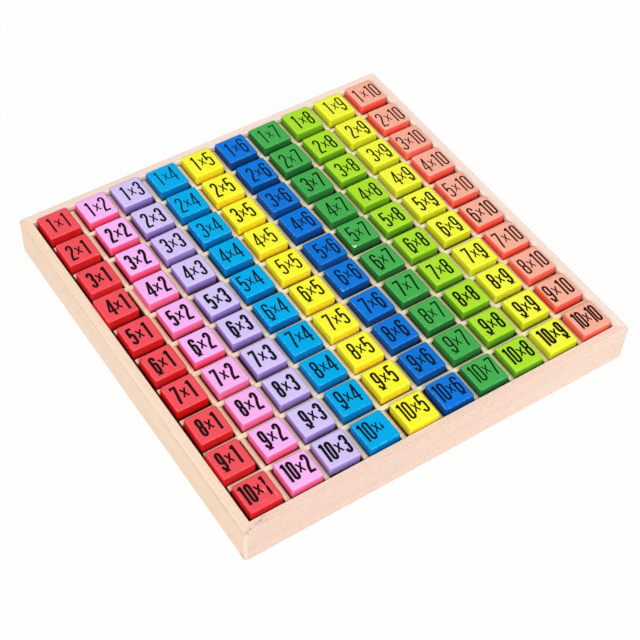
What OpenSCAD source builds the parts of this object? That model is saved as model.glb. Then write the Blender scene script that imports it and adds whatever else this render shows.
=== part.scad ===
// Wooden multiplication table puzzle: a shallow square tray, an egg-crate lattice of
// half-lapped strips and ten rows of ten loose painted blocks, one colour to a column.
// Millimetres, +Z up, +X along a row from the first column to the tenth, +Y from row ten to row one.
// The origin is the middle of the underside.

/* [Blocks] */
// Width and depth of one block
block_width = 17.4; // [12:0.1:24]
// Height of one block
block_height = 18.3; // [16:0.1:24]
// Rounding of the upright edges of a block
block_corner_round = 1.1; // [0.4:0.1:2.5]
// Rounding of the top and bottom edges of a block
block_edge_round = 0.5; // [0.4:0.1:2]
// How much wider a cell is than its block
block_play = 1.55; // [1:0.05:3]
// Least gap between a block and the strips or rails beside it
block_gap = 0.05; // [0.02:0.01:0.2]
// Most that a block is turned in its cell, in degrees
block_turn = 1.5; // [0:0.1:1.8]
// Number that sets how the loose blocks happen to lie
block_scatter = 7; // [1:1:99]

/* [Lattice] */
// Thickness of the strips
strip_thickness = 2.7; // [2:0.1:4]
// Height of the strips
strip_height = 13; // [8:0.5:15]
// How much wider a slot is than the strip that it takes
slot_play = 0.3; // [0.1:0.1:0.6]
// How much wider the tray is inside than the ten cells and nine strips
lattice_play = 1.2; // [0.8:0.1:2]
// Least gap between the end of a strip and a rail
strip_end_gap = 0.1; // [0.05:0.05:0.5]
// How far the lattice lies to the right of the middle
lattice_right = 0.9; // [-1:0.1:1]
// How far the lattice lies towards the back rail
lattice_back = 0.3; // [-1:0.1:1]

/* [Tray] */
// Height of the rails
rail_height = 22.5; // [22:0.5:26]
// Thickness of the rails
rail_thickness = 5.5; // [4.5:0.1:9]
// Rounding along the outer top edge of the rails
rail_edge_round = 0.9; // [0.5:0.1:1.4]
// Rounding along the inner top edge and the outer bottom edge of the rails
rail_small_round = 0.5; // [0.2:0.1:0.8]
// Rounding of the upright corners of the tray
tray_corner_round = 1.6; // [1.5:0.1:4]
// Thickness of the base board
base_thickness = 3; // [2:0.5:4]
// Height of the base board's underside above the bottom of the rails
base_recess = 3.7; // [2:0.1:4]
// Depth of the groove in the rails that holds the base board
groove_depth = 2.5; // [1.5:0.1:3]
// How much higher the groove is than the base board is thick
groove_play = 0.2; // [0.1:0.1:0.5]
// Gap between the edge of the base board and the bottom of the groove
base_edge_gap = 0.3; // [0.1:0.1:0.5]
// Least rounding of the base board's corners
base_corner_round = 0.5; // [0.2:0.1:2]

/* [Hidden] */
$fn = 48;
// Numbers along each side of the table
count = 10;
// Overshoot of cutting shapes past the faces that they cut
cut = 1;
floor_z = base_recess + base_thickness;
cell = block_width + block_play;
pitch = cell + strip_thickness;
lattice_side = count * cell + (count - 1) * strip_thickness;
inner_side = lattice_side + lattice_play;
tray_side = inner_side + 2 * rail_thickness;
strip_length = inner_side - 2 * (max(abs(lattice_right), abs(lattice_back)) + strip_end_gap);
slot_width = strip_thickness + slot_play;
slot_depth = strip_height / 2;

wood = [0.93, 0.80, 0.67];
strip_wood = [0.90, 0.76, 0.62];
board_wood = [0.88, 0.75, 0.58];
paints = [
    [0.93, 0.16, 0.18], // 1 red
    [0.95, 0.55, 0.85], // 2 pink
    [0.74, 0.66, 0.93], // 3 lavender
    [0.02, 0.56, 0.86], // 4 sky blue
    [0.98, 0.93, 0.08], // 5 yellow
    [0.07, 0.38, 0.80], // 6 royal blue
    [0.16, 0.58, 0.20], // 7 green
    [0.55, 0.82, 0.10], // 8 lime
    [0.88, 0.92, 0.12], // 9 lemon
    [0.96, 0.50, 0.38], // 10 salmon
];

// How the blocks lie on the whole, as shares of their free play: each column from the first to
// the tenth leans to the right or left, and each row towards the back or front
column_lean = [0.3, 0.3, -0.3, -0.6, -0.6, -0.9, -0.8, -0.9, -0.9, -0.9];
row_lean = [0.5, 0.5, 0.5, 0.9, 0.5, 0.2, -0.3, 0.1, 0.1, 0.1];
// What chance adds: a share of the free play, and a share of the greatest turn
lean_spread = 0.25;
turn_spread = 0.6;

// Blocks that lie well off those places: row, column, then the share of the free play used to
// the right, the share used towards the back, and the turn in degrees
pushed = [
    [1, 3, -1, 1, 0],
    [1, 7, -1, 0.1, 1],
    [2, 2, 0.9, 1, 0],
    [2, 7, -1, 1, 1.2],
    [2, 10, -0.4, -0.3, 0],
    [3, 1, 0.3, -0.1, 0],
    [3, 2, 0.8, 0.8, 0],
    [3, 3, -0.5, 0.9, 0.8],
    [3, 4, 0.3, 0.5, 0],
    [3, 10, -0.6, -0.1, 0],
    [4, 1, -0.8, 1, 0],
    [4, 2, -1, 1, 0],
    [4, 3, -1, 0.9, -0.8],
    [4, 4, 0.2, 1, 0],
    [4, 6, -1, 1, 1.5],
    [4, 7, -0.4, -0.4, 0],
    [4, 8, -1, 0.2, 0],
    [5, 3, -0.1, -0.4, 1.5],
    [5, 6, -0.3, -1, 0.5],
    [6, 7, -1, -1, 1.5],
    [6, 9, -0.4, 1, 0],
    [7, 1, 0.3, 1, 0],
    [7, 3, 0.5, -0.2, 0],
    [7, 6, -1, -1, 1.2],
    [7, 9, -1, -1, -0.8],
    [8, 8, 0.1, 0.1, 0],
    [8, 9, -1, 0.2, -0.8],
    [9, 1, -0.5, 0, 0.3],
    [9, 5, 0, 0.3, 0],
    [9, 9, -0.1, 0.4, 0],
    [10, 3, -0.7, 1, -1.5],
    [10, 4, -0.7, 0.1, 1.5],
    [10, 5, 1, -0.2, 0],
    [10, 6, -0.1, -0.1, 0],
];

// Middle of strip n of nine, measured along the axis that it is repeated on
function strip_place(n) = -lattice_side / 2 + n * pitch - strip_thickness / 2;

// Lower and upper walls of clear cell n of ten, the end cells reaching the rails
function cell_low(n, shift) =
    n == 1 ? -inner_side / 2 : shift + strip_place(n - 1) + strip_thickness / 2;
function cell_high(n, shift) =
    n == count ? inner_side / 2 : shift + strip_place(n) - strip_thickness / 2;

// Free travel of a block from the middle of a clear width, when it is turned by an angle
function travel(clear, turn) =
    (clear - (block_width - 2 * block_corner_round) * (cos(turn) + abs(sin(turn)))) / 2
    - block_corner_round - block_gap;

// How a block lies: share of the travel to the right, share towards the back, turn in degrees.
// A block that isn't listed leans with its column and its row, and lies a little by chance.
function within(value, most) = min(most, max(-most, value));
function chance(row, column) =
    let (draw = rands(-1, 1, 3, block_scatter * 1000 + row * count + column))
    [
        within(column_lean[column - 1] + draw[0] * lean_spread, 1),
        within(row_lean[row - 1] + draw[1] * lean_spread, 1),
        draw[2] * block_turn * turn_spread,
    ];
function lie(row, column) =
    let (found = [for (b = pushed) if (b[0] == row && b[1] == column) b])
    len(found) > 0
        ? [found[0][2], found[0][3], within(found[0][4], block_turn)]
        : chance(row, column);

// Rectangle with round corners, centred
module rounded_rectangle(width, depth, r) {
    square([width - 2 * r, depth], center = true);
    square([width, depth - 2 * r], center = true);
    for (x = [-1, 1], y = [-1, 1])
        translate([x * (width / 2 - r), y * (depth / 2 - r)]) circle(r);
}

// What a round edge leaves over at the corner of a section, with the corner at the origin
module edge_waste(r) {
    difference() {
        translate([-r, -r]) square(r + cut);
        translate([-r, -r]) circle(r);
    }
}

// Section of a rail: x from the inner face outwards, y up from the bottom
module rail_section() {
    difference() {
        square([rail_thickness, rail_height]);
        translate([-cut, base_recess])
            square([groove_depth + cut, base_thickness + groove_play]);
        translate([rail_thickness, rail_height]) edge_waste(rail_edge_round);
        translate([0, rail_height]) mirror([1, 0]) edge_waste(rail_small_round);
        translate([rail_thickness, 0]) mirror([0, 1]) edge_waste(rail_small_round);
    }
}

// Front rail: a straight run of the section, turned round the corners and mitred
module rail() {
    run = tray_side - 2 * tray_corner_round;
    reach = tray_side / 2 - tray_corner_round;
    intersection() {
        union() {
            translate([-run / 2, -inner_side / 2, 0])
                rotate([90, 0, 90]) mirror([1, 0, 0]) linear_extrude(run) rail_section();
            for (side = [-1, 1])
                translate([side * reach, -reach, 0])
                    rotate([0, 0, side > 0 ? 270 : 180]) rotate_extrude(angle = 90)
                        intersection() {
                            translate([tray_corner_round - rail_thickness, 0]) rail_section();
                            square([tray_corner_round, rail_height]);
                        }
        }
        translate([0, 0, -cut])
            linear_extrude(rail_height + 2 * cut)
                polygon([[0, 0], [-tray_side, -tray_side], [tray_side, -tray_side]]);
    }
}

module rail_front() {
    color(wood) rail();
}

module rail_right() {
    color(wood) rotate([0, 0, 90]) rail();
}

module rail_back() {
    color(wood) rotate([0, 0, 180]) rail();
}

module rail_left() {
    color(wood) rotate([0, 0, 270]) rail();
}

// Thin board that lies in the groove and carries the strips and the blocks
module base_board() {
    side = inner_side + 2 * (groove_depth - base_edge_gap);
    groove_round = tray_corner_round - (rail_thickness - groove_depth);
    color(board_wood)
        translate([0, 0, base_recess])
            linear_extrude(base_thickness)
                rounded_rectangle(side, side, max(base_corner_round, groove_round - base_edge_gap));
}

// Strip on edge along X, with nine slots cut into its lower or its upper half
module slotted_strip(slots_below) {
    slot_z = slots_below ? -cut : slot_depth;
    difference() {
        translate([-strip_length / 2, -strip_thickness / 2, 0])
            cube([strip_length, strip_thickness, strip_height]);
        for (n = [1:count - 1])
            translate([strip_place(n) - slot_width / 2, -slot_width / 2, slot_z])
                cube([slot_width, slot_width, slot_depth + cut]);
    }
}

// Strip between row n and row n + 1, slotted from below
module row_strip(n) {
    color(strip_wood)
        translate([lattice_right, lattice_back - strip_place(n), floor_z])
            slotted_strip(slots_below = true);
}

// Strip between column n and column n + 1, slotted from above
module column_strip(n) {
    color(strip_wood)
        translate([lattice_right + strip_place(n), lattice_back, floor_z])
            rotate([0, 0, 90]) slotted_strip(slots_below = false);
}

// One block standing on the origin, all its edges round
module block() {
    translate([0, 0, block_height / 2])
        intersection() {
            linear_extrude(block_height, center = true)
                rounded_rectangle(block_width, block_width, block_corner_round);
            rotate([90, 0, 0])
                linear_extrude(block_width, center = true)
                    rounded_rectangle(block_width, block_height, block_edge_round);
            rotate([90, 0, 90])
                linear_extrude(block_width, center = true)
                    rounded_rectangle(block_width, block_height, block_edge_round);
        }
}

// Column n of ten blocks, each lying loose on the base board in its own cell
module blocks(n) {
    left = cell_low(n, lattice_right);
    right = cell_high(n, lattice_right);
    color(paints[n - 1])
        for (row = [1:count]) {
            front = cell_low(count + 1 - row, lattice_back);
            back = cell_high(count + 1 - row, lattice_back);
            place = lie(row, n);
            translate([
                (left + right) / 2 + place[0] * travel(right - left, place[2]),
                (front + back) / 2 + place[1] * travel(back - front, place[2]),
                floor_z
            ])
                rotate([0, 0, place[2]]) block();
        }
}

base_board();
rail_front();
rail_right();
rail_back();
rail_left();
for (n = [1:count - 1]) {
    row_strip(n);
    column_strip(n);
}
for (n = [1:count])
    blocks(n);
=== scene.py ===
import math
import random

import bpy
from mathutils import Matrix, Vector


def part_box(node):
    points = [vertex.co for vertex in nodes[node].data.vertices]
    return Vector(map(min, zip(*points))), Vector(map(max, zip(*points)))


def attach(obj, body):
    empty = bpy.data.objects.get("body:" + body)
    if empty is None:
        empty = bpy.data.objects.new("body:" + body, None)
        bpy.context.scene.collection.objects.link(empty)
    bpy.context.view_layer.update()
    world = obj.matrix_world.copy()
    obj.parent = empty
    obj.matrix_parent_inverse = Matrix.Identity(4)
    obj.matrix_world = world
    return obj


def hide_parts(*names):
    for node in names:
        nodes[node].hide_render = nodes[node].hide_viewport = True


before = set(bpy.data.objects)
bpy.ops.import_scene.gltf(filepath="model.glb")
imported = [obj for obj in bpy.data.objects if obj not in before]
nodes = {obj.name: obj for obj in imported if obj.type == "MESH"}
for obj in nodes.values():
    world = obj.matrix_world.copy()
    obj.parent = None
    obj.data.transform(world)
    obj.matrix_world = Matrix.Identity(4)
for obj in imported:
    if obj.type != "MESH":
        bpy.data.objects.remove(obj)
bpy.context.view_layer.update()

mm = 0.001
count = 10
random.seed(11)
print("frame loaded")


# picking, and the few mesh tools that the pieces share

tolerance = {"doubles": 0.0005 * mm, "slivers": 0.004 * mm, "level": 0.001 * mm, "flat": math.radians(1)}


def activate(piece):                            # the only selected object, and the active one
    bpy.ops.object.select_all(action="DESELECT")
    piece.select_set(True)
    bpy.context.view_layer.objects.active = piece


def editAll(piece):                             # in edit mode, with all of its mesh selected
    activate(piece)
    bpy.ops.object.mode_set(mode="EDIT")
    bpy.ops.mesh.select_all(action="SELECT")


def applyModifier(piece, kind, **settings):
    activate(piece)
    modifier = piece.modifiers.new(kind.lower(), kind)
    for name, value in settings.items():
        setattr(modifier, name, value)
    bpy.ops.object.modifier_apply(modifier=modifier.name)


def bevelEdges(piece, test, width, segments):   # test takes an edge's two ends
    activate(piece)
    mesh = piece.data
    for part in (*mesh.polygons, *mesh.vertices):
        part.select = False
    for edge in mesh.edges:
        ends = [mesh.vertices[n].co for n in edge.vertices]
        edge.select = test(*ends)
    bpy.ops.object.mode_set(mode="EDIT")
    bpy.ops.mesh.select_mode(type="EDGE")
    bpy.ops.mesh.bevel(offset=width, segments=segments, affect="EDGES", clamp_overlap=True)
    bpy.ops.object.mode_set(mode="OBJECT")


def faceOutwards(piece):
    editAll(piece)
    bpy.ops.mesh.remove_doubles(threshold=tolerance["doubles"])
    bpy.ops.mesh.normals_make_consistent(inside=False)
    bpy.ops.object.mode_set(mode="OBJECT")


def clearSlivers(piece):                        # what a union leaves on flat faces
    editAll(piece)
    bpy.ops.mesh.remove_doubles(threshold=tolerance["slivers"])
    bpy.ops.mesh.dissolve_degenerate(threshold=tolerance["slivers"])
    bpy.ops.mesh.dissolve_limited(angle_limit=tolerance["flat"])
    bpy.ops.mesh.delete_loose()
    bpy.ops.object.mode_set(mode="OBJECT")


def copyPiece(piece, place, name):              # a copy with its own mesh, and its place in the mesh
    twin = piece.copy()
    twin.data = piece.data.copy()
    twin.name = name
    twin.data.transform(place)
    bpy.context.collection.objects.link(twin)
    return twin


def joinPieces(pieces, name):
    bpy.ops.object.select_all(action="DESELECT")
    for piece in pieces:
        piece.select_set(True)
    bpy.context.view_layer.objects.active = pieces[0]
    bpy.ops.object.join()
    pieces[0].name = name
    pieces[0].data.name = name
    return pieces[0]


def removePiece(piece):
    bpy.data.objects.remove(piece, do_unlink=True)


def dress(piece, material):
    piece.data.materials.clear()
    piece.data.materials.append(material)


# shader maths: an expression on wires adds its Math nodes

class Wire:
    def __init__(self, finish, socket):
        self.finish = finish
        self.socket = socket

    def maths(self, operation, first, second=None, third=None):
        values = {0: first}
        if second is not None:
            values[1] = second
        if third is not None:
            values[2] = third
        return self.finish.node("ShaderNodeMath", {"operation": operation}, values)

    def __add__(self, other):
        return self.maths("ADD", self, other)

    def __radd__(self, other):
        return self.maths("ADD", other, self)

    def __sub__(self, other):
        return self.maths("SUBTRACT", self, other)

    def __rsub__(self, other):
        return self.maths("SUBTRACT", other, self)

    def __mul__(self, other):
        return self.maths("MULTIPLY", self, other)

    def __rmul__(self, other):
        return self.maths("MULTIPLY", other, self)

    def __abs__(self):
        return self.maths("ABSOLUTE", self)

    def atLeast(self, other):
        return self.maths("MAXIMUM", self, other)

    def wrapped(self, low, high):
        return self.maths("WRAP", self, high, low)

    def ramp(self, low, high):                  # 0 at low, 1 at high, smooth between them
        return self.finish.node("ShaderNodeMapRange", {"interpolation_type": "SMOOTHSTEP"},
                                {"Value": self, "From Min": low, "From Max": high})


class Finish:
    def __init__(self, owner):                  # the name of a new material, or the world
        self.owner = bpy.data.materials.new(owner) if isinstance(owner, str) else owner
        self.owner.use_nodes = True
        self.tree = self.owner.node_tree
        self.tree.nodes.clear()

    def node(self, kind, settings=None, values=None, out=0):        # out is the output it hands back
        made = self.tree.nodes.new(kind)
        for name, value in (settings or {}).items():
            setattr(made, name, value)
        for name, value in (values or {}).items():
            if isinstance(value, Wire):
                self.tree.links.new(value.socket, made.inputs[name])
            else:
                made.inputs[name].default_value = value
        return None if out is None else Wire(self, made.outputs[out])

    def place(self, scale=(1, 1, 1), shift=(0, 0, 0)):              # object coordinates, in mm at scale 1
        spot = self.node("ShaderNodeTexCoord", out="Object")
        scale = [s / mm for s in scale]
        return self.node("ShaderNodeMapping", {}, {"Vector": spot, "Scale": scale, "Location": shift})

    def axes(self, vector):                     # the three parts of a vector
        made = self.node("ShaderNodeSeparateXYZ", {}, {"Vector": vector}).socket.node
        return [Wire(self, made.outputs[n]) for n in range(3)]

    def noise(self, vector, scale, detail=2.0, rough=0.5, warp=0.0):
        return self.node("ShaderNodeTexNoise", {}, {"Vector": vector, "Scale": scale, "Detail": detail,
                                                    "Roughness": rough, "Distortion": warp})

    def mix(self, share, first, second):        # of two colours, whose sockets are 6 and 7
        return self.node("ShaderNodeMix", {"data_type": "RGBA", "clamp_factor": True},
                         {0: share, 6: first, 7: second}, out=2)

    def tint(self, colour, share, code):        # the colour, turned towards a web code's
        return self.mix(share, colour, shade(code))

    def bump(self, height, depth, strength):    # depth in metres
        return self.node("ShaderNodeBump", {}, {"Height": height, "Distance": depth, "Strength": strength})

    def vectors(self, operation, first, second=(0, 0, 0), out="Vector"):
        return self.node("ShaderNodeVectorMath", {"operation": operation}, {0: first, 1: second}, out)

    def blot(self, spot, middle, reach, ragged=0.3):                # 1 inside an uneven spot, in mm
        apart = self.vectors("DIVIDE", self.vectors("SUBTRACT", spot, middle), reach)
        far = self.vectors("LENGTH", apart, out="Value")
        return (far + (self.noise(spot, 2.3, 2) - 0.5) * ragged * 2).ramp(1.15, 0.75)

    def close(self, kind, shader):              # kind is Material or World
        self.node("ShaderNodeOutput" + kind, {}, {"Surface": shader}, out=None)
        return self.owner

    def paint(self, settings):
        return self.close("Material", self.node("ShaderNodeBsdfPrincipled", {}, settings))


def shade(code):                                # a colour from its web code, as Blender wants it
    parts = [int(code[n:n + 2], 16) / 255 for n in (0, 2, 4)]
    return tuple(p / 12.92 if p <= 0.04045 else ((p + 0.055) / 1.055) ** 2.4 for p in parts) + (1.0,)


def between(share, first, second):              # a plain colour, that share of the way to the second
    return tuple(a + (b - a) * share for a, b in zip(first, second))


# camera, at the photograph's viewing angle

view = {"place": (-0.29069, -0.40631, 0.58695), "turn": (39.648, -2.010, -33.454), "lens": 82.72,
        "sensor": 36, "nearest": 0.01}

bpy.ops.object.camera_add(location=view["place"], rotation=[math.radians(a) for a in view["turn"]])
camera = bpy.context.object
camera.data.lens = view["lens"]
camera.data.sensor_width = view["sensor"]
camera.data.clip_start = view["nearest"]
bpy.context.scene.camera = camera

# lamps, world and floor

studio = {"world": 0.42, "key": 239, "keyPlace": (-1.50, -4.35, 4.65), "keySize": 2.4,
          "fill": 109, "fillPlace": (-4.35, -1.35, 3.30), "fillSize": 2.4,
          "floorSize": 6, "floorDrop": 0.2 * mm, "floorShade": 0.04, "paper": 0.70}
white = (1, 1, 1, 1)

bpy.context.scene.view_settings.view_transform = "Standard"
world = bpy.data.worlds.new("studio")
bpy.context.scene.world = world
sky = Finish(world)                             # white where the camera sees it, dimmer as a light
seen = sky.node("ShaderNodeLightPath", out="Is Camera Ray")
sky.close("World", sky.node("ShaderNodeBackground", {}, {
    "Color": white, "Strength": seen * (1 - studio["world"]) + studio["world"]}))

for lamp in ("key", "fill"):                    # each faces the origin
    place = studio[lamp + "Place"]
    bpy.ops.object.light_add(type="AREA", location=place)
    light = bpy.context.object
    light.data.energy = studio[lamp]
    light.data.size = studio[lamp + "Size"]
    light.rotation_euler = (-Vector(place)).to_track_quat("-Z", "Y").to_euler()


def makePaper():                                # matt, and nearly white to the camera and in reflections
    made = Finish("paper")
    seen = made.node("ShaderNodeLightPath", out="Is Camera Ray")
    seen = seen.atLeast(made.node("ShaderNodeLightPath", out="Is Glossy Ray"))
    matt = made.node("ShaderNodeBsdfDiffuse", {}, {"Color": (studio["paper"],) * 3 + (1,)})
    glow = made.node("ShaderNodeEmission", {}, {"Color": white, "Strength": 1.0})
    share = seen * (1 - studio["floorShade"])
    return made.close("Material", made.node("ShaderNodeMixShader", {}, {0: share, 1: matt, 2: glow}))


bpy.ops.mesh.primitive_plane_add(size=studio["floorSize"], location=(0, 0, -studio["floorDrop"]))
floor = bpy.context.object
floor.name = "floor"
dress(floor, makePaper())
print("camera, lamps and floor set")


# wood of the rails, the strips and the base board

# of each: the grain's colours, its direction, where its pattern starts, flecks, and a rail's glue line
wood = {
    "rail_front": {"pale": "FDE4D3", "warm": "FAD9C7", "line": "DDAE98",
                   "alongX": True, "start": 3.0, "flecks": 0.22, "seam": 0.12},
    "rail_back": {"pale": "FFF0E2", "warm": "FFE5D5", "line": "E6BCA8",
                  "alongX": True, "start": 17.0, "flecks": 0.12, "seam": 0.15},
    "rail_left": {"pale": "FAE2CA", "warm": "F6D7BC", "line": "D9B290",
                  "alongX": False, "start": 41.0, "flecks": 0.12, "seam": 0.55},
    "rail_right": {"pale": "FFEEE0", "warm": "FBE2D2", "line": "E6BCA8",
                   "alongX": False, "start": 63.0, "flecks": 0.12, "seam": 0.15},
    "rows": {"pale": "FFF4D0", "warm": "FFE4B4", "line": "DDB080",
             "alongX": True, "start": 5.0, "flecks": 0.12},
    "columns": {"pale": "FFF6DC", "warm": "FFE4B8", "line": "B87444",
                "alongX": False, "start": 9.0, "flecks": 0.12},
    # the board's wood is darkened: painted shade at the bottom of the cells
    "board": {"pale": "C89A72", "warm": "B58460", "line": "8A5C3C",
              "alongX": True, "start": 23.0, "flecks": 0.12},
}
grain = {"stretch": 0.035, "dashStretch": 0.16, "bands": 0.22, "streaks": 1.1, "dashes": 1.7, "flecks": 0.9,
         "rough": 0.60, "roughSpread": 0.12, "shine": 0.18, "bump": 0.1 * mm, "bumpStrength": 0.5}
# of the tints, the rim and crossing colours are painted highlights, and the left end, shade and edge
# colours painted shade
tints = {"fleck": "C29C88", "leftEndShade": "D8B8A4", "rimHighlight": "FFF4DC", "seam": "A98468", "mark": "6B4434",
         "shade": "3A1608", "edge": "A0602C", "crossingPale": "FFF6DC"}
shares = {"bands": 0.7, "streaks": 0.12, "dashes": 0.12,            # of each colour where it is strongest
          # the rim and crossing shares are painted light; the left end, arris, inside, strip edge and
          # between shares painted shade
          "leftEndShade": 0.22, "rimHighlight": 0.55, "mitre": 0.18, "arrisShade": 0.45, "inside": 0.75,
          "rowEdgeShade": 0.45, "crossingLight": 0.6, "darkerRight": 0.60, "columnEdgeShade": 0.40, "between": 0.9}

lowTray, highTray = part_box("rail_left")
outerEdge = -lowTray.x / mm                     # distances of the rails' faces from the middle, in mm
innerEdge = -highTray.x / mm
railTop = highTray.z / mm
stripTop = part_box("row_strip_1")[1].z / mm
cornerMarks = [                                 # dark marks at the front left: middle, reach and strength
    ((-103.0, -109.7, railTop), (1.1, 0.34, 1), 0.55),
    ((-104.6, -110.0, railTop), (2.4, 0.26, 1), 0.26),
    ((-101.2, -108.5, railTop), (2.6, 0.30, 1), 0.30),
    ((-98.6, -109.3, railTop), (3.8, 0.30, 1), 0.16),
    ((-102.4, -110.8, railTop), (5.0, 0.30, 1), 0.16),
    ((-109.4, -111.3, railTop), (0.8, 0.42, 1), 0.42),
    ((-111.8, -112.3, railTop), (1.3, 1.1, 1), 0.22),
    ((-112.8, -112.8, 19.6), (0.35, 0.35, 2.2), 0.28),
    ((-113.0, -110.6, 0.9), (0.6, 2.6, 1.3), 0.50),
]


def grainOf(made, own):                         # colour and height of plain wood
    def along(stretch):                         # coordinates that draw a pattern out along the grain
        return made.place((stretch, 1, 1) if own["alongX"] else (1, stretch, 1), (own["start"],) * 3)

    long = along(grain["stretch"])
    short = along(grain["dashStretch"])
    bands = made.noise(long, grain["bands"], 2, 0.5, 0.3)
    streaks = made.noise(long, grain["streaks"], 3, 0.6)
    dashes = made.noise(short, grain["dashes"], 3, 0.6)
    flecks = made.noise(made.place(), grain["flecks"], 3, 0.6)
    colour = made.tint(shade(own["pale"]), bands.ramp(0.34, 0.68) * shares["bands"], own["warm"])
    colour = made.tint(colour, streaks.ramp(0.52, 0.74) * shares["streaks"], own["line"])
    colour = made.tint(colour, dashes.ramp(0.58, 0.76) * shares["dashes"], own["line"])
    colour = made.tint(colour, flecks.ramp(0.40, 0.68) * own["flecks"], tints["fleck"])
    return colour, streaks * 0.5 + dashes * 0.5


def closeWood(made, colour, height):
    spread = grain["roughSpread"]
    return made.paint({"Base Color": colour, "Roughness": height * spread + (grain["rough"] - spread / 2),
                       "Specular IOR Level": grain["shine"],
                       "Normal": made.bump(height, grain["bump"], grain["bumpStrength"])})


def makeRailWood(name):
    own = wood[name]
    made = Finish(name)
    colour, height = grainOf(made, own)
    spot = made.place()
    x, y, z = made.axes(spot)
    out = abs(x).atLeast(abs(y))                # how far out, across whichever rail this is
    fray = made.noise(spot, 0.5, 3, 0.6)
    # painted shade: the rails along x grow darker towards their left end
    if own["alongX"]:
        colour = made.tint(colour, x.ramp(outerEdge, -outerEdge) * shares["leftEndShade"], tints["leftEndShade"])
    # painted highlight: a pale line along the rail's inner top edge
    rimHighlight = out.ramp(innerEdge + 0.75, innerEdge + 0.15) * z.ramp(railTop - 0.6, railTop - 0.1)
    colour = made.tint(colour, rimHighlight * fray.ramp(0.3, 0.6) * shares["rimHighlight"], tints["rimHighlight"])
    line = out.ramp(outerEdge - 0.75, outerEdge - 0.5) * z.ramp(railTop - 0.75, railTop - 0.5)
    line = line * (1 - z.ramp(railTop - 0.30, railTop - 0.08))
    colour = made.tint(colour, line * fray.ramp(0.32, 0.62) * own["seam"], tints["seam"])
    mitre = (1 - abs(abs(x) - abs(y)).ramp(0.05, 0.22)) * fray.ramp(0.40, 0.62)
    colour = made.tint(colour, mitre * shares["mitre"], tints["seam"])
    facing = made.axes(made.node("ShaderNodeNewGeometry", out="Normal"))[2]
    # painted shade on the rounded outer top edge, which keeps it from looking brighter than the faces
    # beside it
    arrisShade = facing.ramp(0.10, 0.45) * (1 - facing.ramp(0.72, 0.97)) * out.ramp(outerEdge - 2, outerEdge - 1)
    colour = made.tint(colour, arrisShade * shares["arrisShade"], own["line"])
    # painted shade: the rail's inner face darker downwards
    inside = (1 - out.ramp(innerEdge + 0.02, innerEdge + 0.10)) * z.ramp(railTop - 1.2, railTop - 4.5)
    colour = made.tint(colour, inside * shares["inside"], tints["shade"])
    if name in ("rail_front", "rail_left"):
        for middle, reach, strength in cornerMarks:
            colour = made.tint(colour, made.blot(spot, middle, reach) * strength, tints["mark"])
    return closeWood(made, colour, height)


def darkBelow(made, colour):                    # little light reaches the strips' sides between the blocks
    low = made.axes(made.place())[2].ramp(stripTop - 0.1, stripTop - 1.8)
    return made.tint(colour, low * shares["between"], tints["shade"])


def offStrip(made, kind, axis):                 # distance from the nearest strip's middle, in mm
    low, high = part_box(f"{kind}_strip_1")
    pitch = (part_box(f"{kind}_strip_2")[0][axis] - low[axis]) / mm
    middle = (low[axis] + high[axis]) / 2 / mm
    return (made.axes(made.place())[axis] - middle).wrapped(-pitch / 2, pitch / 2)


def makeRowWood():                              # painted light where the column strips cross it, and painted shade along its edges
    made = Finish("row_strip_wood")
    colour, height = grainOf(made, wood["rows"])
    # painted shade along both edges of the strip
    edge = abs(offStrip(made, "row", 1)).ramp(0.8, 1.3)
    colour = made.tint(colour, edge * shares["rowEdgeShade"], tints["edge"])
    # painted light where the strips cross
    crossingLight = abs(offStrip(made, "column", 0)).ramp(1.9, 0.9)
    colour = made.tint(colour, crossingLight * shares["crossingLight"], tints["crossingPale"])
    return closeWood(made, darkBelow(made, colour), height)


def makeColumnWood():                           # darker right of its middle, and painted shade along its left edge
    made = Finish("column_strip_wood")
    colour, height = grainOf(made, wood["columns"])
    across = offStrip(made, "column", 0)
    colour = made.tint(colour, across.ramp(0.3, 0.8) * shares["darkerRight"], wood["columns"]["line"])
    # painted shade along the strip's left edge
    colour = made.tint(colour, across.ramp(-0.8, -1.3) * shares["columnEdgeShade"], tints["edge"])
    return closeWood(made, darkBelow(made, colour), height)


def makeBoardWood():
    made = Finish("base_board_wood")
    return closeWood(made, *grainOf(made, wood["board"]))


for name in ("rail_front", "rail_back", "rail_left", "rail_right"):
    dress(nodes[name], makeRailWood(name))
rowWood = makeRowWood()
columnWood = makeColumnWood()
for n in range(1, count):
    dress(nodes[f"row_strip_{n}"], rowWood)
    dress(nodes[f"column_strip_{n}"], columnWood)
dress(nodes["base_board"], makeBoardWood())
print("wood done")


# where each block lies, read from the frame

def blockPlaces(column):                        # row: middle and turn of each block of the column
    mesh = nodes[f"blocks_{column}"].data
    limits = []
    for n in range(1, count):
        low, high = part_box(f"row_strip_{n}")
        limits.append((low.y + high.y) / 2)
    found = {}
    for face in mesh.polygons:
        row = 1 + sum(face.center.y < y for y in limits)
        found.setdefault(row, []).append(face)
    places = {}
    for row, faces in found.items():
        corners = [mesh.vertices[n].co for face in faces for n in face.vertices]
        xs = [c.x for c in corners]
        ys = [c.y for c in corners]
        side = max((f for f in faces if abs(f.normal.z) < 0.01), key=lambda f: f.area)
        turn = math.atan2(side.normal.y, side.normal.x) % (math.pi / 2)
        if turn > math.pi / 4:
            turn -= math.pi / 2
        places[row] = ((max(xs) + min(xs)) / 2, (max(ys) + min(ys)) / 2, turn)
    return places


# painted blocks

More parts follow.
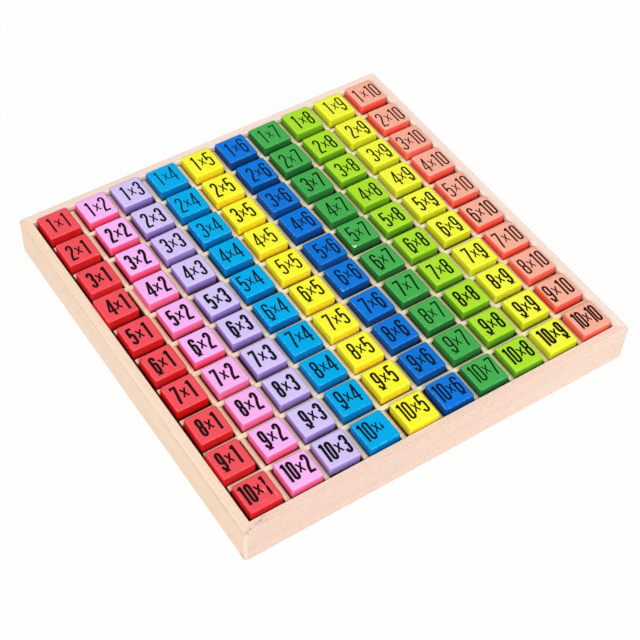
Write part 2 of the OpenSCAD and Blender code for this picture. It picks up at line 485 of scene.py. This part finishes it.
block = {"width": 17.4 * mm, "cornerRound": 1.1 * mm, "cornerSteps": 4,
         "edgeRound": 0.5 * mm, "edgeSteps": 3, "footSteps": 1, "normalWeight": 90}
coat = {"rough": 0.42, "roughSpread": 0.12, "shine": 0.06, "bump": 0.07 * mm, "bumpStrength": 0.6,
        # the rim share and rim paleness are those of the painted highlight on the top edges
        "rimHighlight": 0.30, "rimPale": 0.45, "cloud": 0.30, "cloudShade": 0.30, "speckle": 0.12,
        "sideShadeFrom": 24.2, "sideShadeTo": 19.7,       # heights between which the sides grow deeper in colour, a painted shade
        "gapShadeFrom": stripTop + 0.1, "gapShadeTo": stripTop - 1.3,       # and nearly black between the strips, a painted shade
        # how near black the painted shade between the strips goes
        "dark": 0.8, "nearBlack": (0.01, 0.004, 0.003, 1)}
lowBlock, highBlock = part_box("blocks_1")
blockBottom = lowBlock.z
blockTop = highBlock.z
inkRise = 0.03 * mm                             # thickness of the print, which the block leaves room for

paints = {                                      # top, side, lower side and ink of each column: the sides' colours are partly painted shade, the lower side's wholly
    1: ("F6555F", "D6110E", "D40C08", "1E1416"),
    2: ("F9B8F7", "FF6EA6", "F4345C", "14060C"),
    3: ("D6C6F8", "A88EDC", "6E529C", "0C0912"),
    4: ("00B0EE", "027CC4", "0259AC", "081624"),
    5: ("FBF934", "FFF02A", "FFD61A", "180D04"),
    6: ("0C7AE0", "0A4C96", "083E80", "0E1826"),
    7: ("48B152", "2A7C38", "1A622C", "0B1810"),
    8: ("B0E62E", "78B81E", "4A8C12", "0A140B"),
    9: ("F8FB42", "E2E822", "C2CA16", "12120A"),
    10: ("FBB29A", "FF725E", "F43A2C", "24090C"),
}

# bare or stained spots of a column's blocks: row, place on the block, reach, colour and strength
chips = {
    1: [(3, (-7.3, 7.0), (0.55, 0.35), "1E1416", 0.85),
        (6, (-7.9, 6.6), (0.5, 0.4), "1E1416", 0.8),
        (7, (-7.9, 7.9), (0.6, 0.4), "1E1416", 0.9),
        (10, (6.6, -5.6), (0.35, 1.8), "FFB4B4", 0.45),
        (10, (3.0, -1.0), (0.5, 1.5), "FF9CA0", 0.5),
        (10, (-1.0, -6.0), (2.6, 0.22), "FF8C90", 0.4),
        (10, (1.5, -6.9), (2.2, 0.2), "FF8C90", 0.35)],
    6: [(6, (-7.6, -8.1), (0.8, 0.35), "6FE0B4", 0.85),
        (6, (-5.4, -8.3), (0.5, 0.3), "4FC8D8", 0.7),
        (6, (-8.2, -6.6), (0.3, 0.6), "5FD0C8", 0.6)],
    7: [(5, (-7.4, -8.1), (1.0, 0.5), "FFF2C8", 0.95),
        (5, (-8.2, -7.0), (0.4, 0.7), "C8E8A0", 0.6)],
}


def makeBlock():
    width = block["width"]
    bpy.ops.object.select_all(action="DESELECT")
    bpy.ops.mesh.primitive_cube_add(size=1, location=(0, 0, (blockBottom + blockTop - inkRise) / 2))
    made = bpy.context.object
    made.scale = (width, width, blockTop - inkRise - blockBottom)
    bpy.ops.object.transform_apply(location=True, rotation=True, scale=True)
    bevelEdges(made, lambda a, b: abs(a.z - b.z) > width / 2, block["cornerRound"], block["cornerSteps"])
    top = max(v.co.z for v in made.data.vertices) - tolerance["level"]
    low = min(v.co.z for v in made.data.vertices) + tolerance["level"]
    bevelEdges(made, lambda a, b: min(a.z, b.z) > top, block["edgeRound"], block["edgeSteps"])
    bevelEdges(made, lambda a, b: max(a.z, b.z) < low, block["edgeRound"], block["footSteps"])
    activate(made)
    bpy.ops.object.shade_smooth()
    applyModifier(made, "WEIGHTED_NORMAL", keep_sharp=False, weight=block["normalWeight"])
    return made


def makePaint(column):
    top, side, sideInShade = [shade(code) for code in paints[column][:3]]
    made = Finish(f"paint_{column}")
    facing = made.axes(made.node("ShaderNodeNewGeometry", out="Normal"))[2]
    tone = made.node("ShaderNodeAttribute", {"attribute_name": "tone"}, out="Fac")
    place = made.place()
    high = made.axes(place)[2]
    fine = made.noise(place, 0.8, 4, 0.6)
    broad = made.noise(place, 0.16, 2, 0.5)
    # painted shade: the sides grow deeper in colour downwards
    sides = made.mix(high.ramp(coat["sideShadeFrom"], coat["sideShadeTo"]), side, sideInShade)
    # the sides darker than the top: partly the paint's own colour, partly painted shade
    colour = made.mix(facing.ramp(0.35, 0.90), sides, top)
    # painted highlight: a pale line along the rounded top edges of the blocks
    rimHighlight = facing.ramp(0.42, 0.72) * (1 - facing.ramp(0.88, 0.985)) * fine.ramp(0.46, 0.66)
    colour = made.mix(rimHighlight * coat["rimHighlight"], colour, between(coat["rimPale"], top, white))
    cloud = (tone * 0.7 + broad * 0.5).ramp(0.25, 0.95)
    colour = made.mix(cloud * coat["cloud"], colour, between(coat["cloudShade"], top, side))
    colour = made.mix(fine.ramp(0.52, 0.72) * coat["speckle"], colour, side)
    # painted shade: the sides nearly black below the strips' tops
    low = high.ramp(coat["gapShadeFrom"], coat["gapShadeTo"])
    colour = made.mix(low, colour, between(coat["dark"], sideInShade, coat["nearBlack"]))
    for row, offset, reach, code, strength in chips.get(column, []):
        x, y = placesOf[column][row][:2]
        middle = (x / mm + offset[0], y / mm + offset[1], blockTop / mm)
        colour = made.tint(colour, made.blot(place, middle, (*reach, 0.8), 0.35) * strength, code)
    return made.paint({"Base Color": colour, "Roughness": fine * coat["roughSpread"] + coat["rough"],
                       "Specular IOR Level": coat["shine"],
                       "Normal": made.bump(fine * 0.7 + broad * 0.3, coat["bump"], coat["bumpStrength"])})


blockForm = makeBlock()
placesOf = {}
for column in range(1, count + 1):
    placesOf[column] = blockPlaces(column)
    copies = []
    for row, (x, y, turn) in sorted(placesOf[column].items()):
        place = Matrix.Translation((x, y, 0)) @ Matrix.Rotation(turn, 4, "Z")
        twin = copyPiece(blockForm, place, f"block_{row}_{column}")
        tone = twin.data.attributes.new("tone", "FLOAT", "POINT")   # each block's own shade of the paint
        amount = random.uniform(0, 1)
        for entry in tone.data:
            entry.value = amount
        copies.append(twin)
    painted = joinPieces(copies, f"painted_blocks_{column}")
    dress(painted, makePaint(column))
    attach(painted, "root")
    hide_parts(f"blocks_{column}")
removePiece(blockForm)
print("blocks done")


# printed numbers: each stroke is a wall along its centre line, given its width

number = {"height": 11.1, "width": 3.45, "gap": 0.82, "gapAfterTen": 0.68, "gapBeforeTen": 1.0,
          "crossWidth": 3.0, "crossHeight": 5.2, "crossLow": 5.3, "bend": 1.35, "waist": 5.85, "step": 18,
          "oneWidth": 2.0, "oneSkip": 0.55,     # the narrow 1 of a 10, and where its ink starts
          "narrow": 0.93, "narrowGap": 0.3,     # 10x10 is squeezed to fit its block
          "underlineInset": 0.35, "underlineLow": -0.35, "underlineShare": 0.66, "closest": 0.01,
          "rise": (0.0, -0.7, -0.6, -0.5, -0.5, -0.1, -0.1, -0.1, 0.4, 0.7),    # of each row's print
          "lift": (0.1, 0.0, 0.0, 0.2, 0.25, 0.1, 0.0, -0.25, 0.0, -0.3)}       # of each column's
ink = {"worn": 0.08, "rough": 0.45, "roughSpread": 0.2, "shine": 0.06}
weights = {"faint": (0.80, 0.54), "fine": (0.93, 0.62), "plain": (1.05, 0.70), "firm": (1.17, 0.78),
           "strong": (1.28, 0.85), "bold": (1.48, 0.97)}            # digit stroke and cross stroke
printed = {                                     # each column's print is as heavy as this from a row on
    1: {1: "plain", 2: "strong", 3: "bold"},
    2: {1: "firm", 2: "bold"},
    3: {1: "firm", 2: "strong", 5: "bold"},
    4: {1: "faint", 2: "fine", 4: "plain", 7: "firm"},
    5: {1: "plain", 2: "firm", 4: "plain", 6: "firm", 9: "strong", 10: "firm"},
    6: {1: "fine", 2: "plain", 7: "firm"},
    7: {1: "faint", 2: "fine", 3: "plain", 4: "fine", 6: "plain", 8: "fine"},
    8: {1: "plain", 5: "firm", 8: "strong"},
    9: {1: "fine", 2: "plain", 5: "firm", 8: "strong", 10: "bold"},
    10: {1: "fine", 6: "plain", 9: "firm", 10: "strong"},
}
worn = {(10, 4): "10x/", (10, 1): "10xi"}       # row and column of a label whose last digit is worn
aside = {                                       # row: how far right of the block's middle its print is
    1: {3: 0.5, 4: -0.6, 7: -0.4},
    2: {4: -0.6, 5: -0.7, 6: 0.4, 7: -0.5, 9: 0.3},
    3: {2: -0.4, 4: -0.4, 5: -0.8, 6: -0.4, 10: -0.8},
    4: {1: 0.9, 2: 0.5, 4: -0.6, 5: -1.1, 6: 0.4, 9: 0.4},
    5: {1: -0.4, 2: -0.3, 4: -1.2, 6: 0.5, 8: -0.3},
    6: {3: 0.3, 4: -0.5, 5: -0.4, 6: 0.4, 9: -0.3},
    7: {2: -0.8, 3: -0.7, 7: -0.3, 8: -0.6, 9: -0.3},
    8: {1: 0.3, 3: -0.3, 6: -0.6, 8: -0.8},
    9: {1: -0.3, 2: -0.3, 3: 1.1, 4: -0.3, 5: -0.7, 6: -0.6, 7: -0.3, 9: -0.7, 10: -0.6},
    10: {1: -0.5, 4: -0.3, 5: -0.5, 6: -0.5, 8: -0.2, 9: -0.2, 10: -0.2},
}
higher = {                                      # row: what is added to rise and lift in single columns
    1: {4: 0.6, 9: 0.1}, 2: {7: -0.5}, 3: {3: 0.5}, 5: {4: 0.6},
    6: {5: 0.6, 9: -0.6}, 7: {4: 0.5}, 9: {9: -0.6}, 10: {3: -0.8},
}


def weightOf(row, column):
    return printed[column][max(first for first in printed[column] if first <= row)]


def bend(x, y, across, up, start, end):         # part of an ellipse, from start to end in degrees
    steps = max(2, round(abs(end - start) / number["step"]))
    angles = [math.radians(start + (end - start) * n / steps) for n in range(steps + 1)]
    return [(x + across * math.cos(a), y + up * math.sin(a)) for a in angles]


def swing(a, b, c, d, steps=7):                 # a curve from a to d, drawn towards b and c
    points = []
    for n in range(steps + 1):
        t = n / steps
        share = ((1 - t) ** 3, 3 * t * (1 - t) ** 2, 3 * t * t * (1 - t), t ** 3)
        points.append(tuple(sum(w * p[k] for w, p in zip(share, (a, b, c, d))) for k in (0, 1)))
    return points


# the points, the width and whether it is closed, of each stroke of a sign, in mm
# w and h are a digit's width and height, s its stroke, q the height of a round end

def strokesOf(sign, s, thin):
    w, h, q, waist = number["width"], number["height"], number["bend"], number["waist"]
    left, right, top, low, mid = s / 2, w - s / 2, h - s / 2, s / 2, w / 2
    half = (right - left) / 2
    if sign == "0":
        return [(bend(mid, top - q, half, q, 180, 0) + bend(mid, low + q, half, q, 0, -180), s, True)]
    if sign == "1":
        stem = mid + 0.2
        return [([(stem, 0), (stem, h)], s, False),
                ([(stem + 0.1, h - 0.35), (stem - 1.2, h - 1.75)], s * 0.95, False)]
    if sign == "2":
        foot = swing((right, top - q - 1.0), (right, 6.0), (left, 4.2), (left + 0.1, s * 0.4))
        return [([(left, top - q - 0.9)] + bend(mid, top - q, half, q, 180, 0) + foot, s, False),
                ([(0.08, low), (w, low)], s, False)]
    if sign == "3":
        knee = 1.25
        return [([(left, top - q - 0.7)] + bend(mid, top - q, half, q, 180, 0)
                 + bend(mid, waist + knee, half, knee, 0, -90) + [(mid - 0.35, waist)], s, False),
                ([(mid - 0.35, waist)] + bend(mid, waist - knee, half, knee, 90, 0)
                 + bend(mid, low + q, half, q, 0, -180) + [(left, low + q + 0.7)], s, False)]
    if sign == "4":
        stem, bar = w - 0.85, 3.25
        return [([(stem, 0), (stem, h)], s * 0.95, False),
                ([(-0.1, bar), (w + 0.4, bar)], s * 0.85, False),
                ([(stem - 0.1, h - 0.3), (0.25, bar)], s * 0.8, False)]
    if sign == "5":
        return [([(left - 0.2, top), (w - 0.3, top)], s, False),
                ([(left, top), (left - 0.05, 5.0)], s, False),
                ([(left, 5.2)] + bend(mid, 5.35, half, 1.45, 180, 0)
                 + bend(mid, low + q, half, q, 0, -180) + [(left, low + q + 0.4)], s, False)]
    if sign == "6":
        return [(bend(mid, 6.7 - q, half, q, 180, 0) + bend(mid, low + q, half, q, 0, -180), s, True),
                ([(left, 4.5)] + bend(mid, top - q, half, q, 180, 0) + [(right, top - q - 0.8)], s, False)]
    if sign == "7":
        return [([(0.1, top), (w, top)], s, False),
                ([(0.45, top), (0.45, top - s * 0.9)], 0.7, False),
                (swing((right, top), (right - 0.1, 7.4), (1.6, 4.2), (1.45, 0)), s, False)]
    if sign == "8":
        return [(bend(mid, top - q, half, q, 180, 0) + bend(mid, waist + q, half, q, 0, -180), s, True),
                (bend(mid, waist - q, half, q, 180, 0) + bend(mid, low + q, half, q, 0, -180), s, True)]
    if sign == "9":                             # a 6 turned half round
        return [([(w - x, h - y) for x, y in points], width, closed)
                for points, width, closed in strokesOf("6", s, thin)]
    if sign == "/":                             # all that is left of a worn 4
        return [([(0.6, 7.3), (0.6, 5.6)], thin * 0.5, False),
                ([(0.6, 5.8), (0.55, 4.3)], thin * 0.9, False),
                ([(0.55, 4.5), (0.45, 3.1)], thin * 1.6, False)]
    if sign == "i":                             # a 1 that is worn through across its middle
        stem = mid + 0.2
        return [([(stem, 7.0), (stem, h)], s * 0.95, False),
                ([(stem + 0.1, h - 0.4), (stem - 0.8, h - 1.7)], s * 1.15, False),
                ([(stem - 0.05, 5.9), (stem, 7.2)], s * 0.6, False),
                ([(stem + 0.1, 4.4), (stem + 0.05, 6.1)], s * 0.35, False),
                ([(stem + 0.05, 3.6), (stem + 0.05, 4.9)], s * 0.7, False),
                ([(stem, 0), (stem, 3.8)], s * 0.9, False)]
    w, low = number["crossWidth"], number["crossLow"] - number["crossHeight"] / 2
    high = low + number["crossHeight"]
    return [([(0.2, low), (w - 0.2, high)], thin, False),
            ([(0.2, high), (w - 0.2, low)], thin, False)]


def withoutRepeats(points):                     # a closed stroke's points, each place once
    kept = [points[0]]
    for point in points[1:-1]:
        if math.dist(point, kept[-1]) > number["closest"]:
            kept.append(point)
    return kept


def makeStroke(points, width, closed):
    bpy.ops.object.select_all(action="DESELECT")
    bpy.ops.object.add(type="CURVE")
    made = bpy.context.object
    made.data.dimensions = "3D"
    made.data.twist_mode = "Z_UP"
    made.data.extrude = inkRise / 2
    spline = made.data.splines.new("POLY")
    spline.points.add(len(points) - 1)
    for entry, (x, y) in zip(spline.points, points):
        entry.co = (x * mm, y * mm, 0, 1)
    spline.use_cyclic_u = closed
    activate(made)
    bpy.ops.object.convert(target="MESH")
    made = bpy.context.object
    applyModifier(made, "SOLIDIFY", thickness=width * mm, offset=0, use_even_offset=True)
    faceOutwards(made)
    return made


def makeSign(sign, weight):
    stroke, thin = weights[weight]
    paths = strokesOf(sign, stroke, thin)
    if sign in "69":                            # both are underlined
        inset, low = number["underlineInset"], number["underlineLow"]
        line = [(inset, low), (number["width"] - inset, low)]
        paths.append((line, stroke * number["underlineShare"], False))
    parts = []
    for points, width, closed in paths:
        parts.append(makeStroke(withoutRepeats(points) if closed else points, width, closed))
    whole = parts[0]
    for part in parts[1:]:
        applyModifier(whole, "BOOLEAN", operation="UNION", object=part, solver="MANIFOLD")
        removePiece(part)
    clearSlivers(whole)
    return whole


signs = {(sign, weight): makeSign(sign, weight) for weight in weights for sign in "0123456789x"}
for (row, column), label in worn.items():
    weight = weightOf(row, column)
    signs[label[-1], weight] = makeSign(label[-1], weight)
print("signs made")


def widthOf(label, n):                          # room that a sign takes, and where its ink starts
    if label[n] == "x":
        return number["crossWidth"], 0
    if label[n:n + 2] == "10":
        return number["oneWidth"], number["oneSkip"]
    return number["width"], 0


def makeNumbers(column):
    copies = []
    for row, (x, y, turn) in sorted(placesOf[column].items()):
        label = worn.get((row, column), f"{row}x{column}")
        weight = weightOf(row, column)
        gap, squeeze = number["gap"], 1.0
        if row == column == 10:
            gap, squeeze = number["narrowGap"], number["narrow"]
        elif row == 10:
            gap = number["gapAfterTen"]
        elif column == 10:
            gap = number["gapBeforeTen"]
        total = sum(widthOf(label, n)[0] for n in range(len(label))) + gap * (len(label) - 1)
        across = -total / 2 + aside[row].get(column, 0)
        up = number["rise"][row - 1] + number["lift"][column - 1] + higher.get(row, {}).get(column, 0)
        low = up - number["height"] / 2
        onBlock = (Matrix.Translation((x, y, blockTop - inkRise / 2)) @ Matrix.Rotation(turn, 4, "Z")
                   @ Matrix.Diagonal((squeeze, 1, 1, 1)))
        for n, sign in enumerate(label):
            width, skip = widthOf(label, n)
            place = onBlock @ Matrix.Translation(((across - skip) * mm, low * mm, 0))
            copies.append(copyPiece(signs[sign, weight], place, f"sign_{row}_{column}_{n}"))
            across += width + gap
    return joinPieces(copies, f"printed_numbers_{column}")


def makeInk(column):                            # the paint shows through a little where it is thin
    made = Finish(f"ink_{column}")
    thin = made.noise(made.place(), 1.4, 4, 0.65)
    top, dark = paints[column][0], paints[column][3]
    colour = made.tint(shade(dark), thin.ramp(0.45, 0.8) * ink["worn"], top)
    return made.paint({"Base Color": colour, "Roughness": thin * ink["roughSpread"] + ink["rough"],
                       "Specular IOR Level": ink["shine"]})


for column in range(1, count + 1):
    numbers = makeNumbers(column)
    dress(numbers, makeInk(column))
    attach(numbers, "root")
for sign in signs.values():
    removePiece(sign)
print("numbers done")
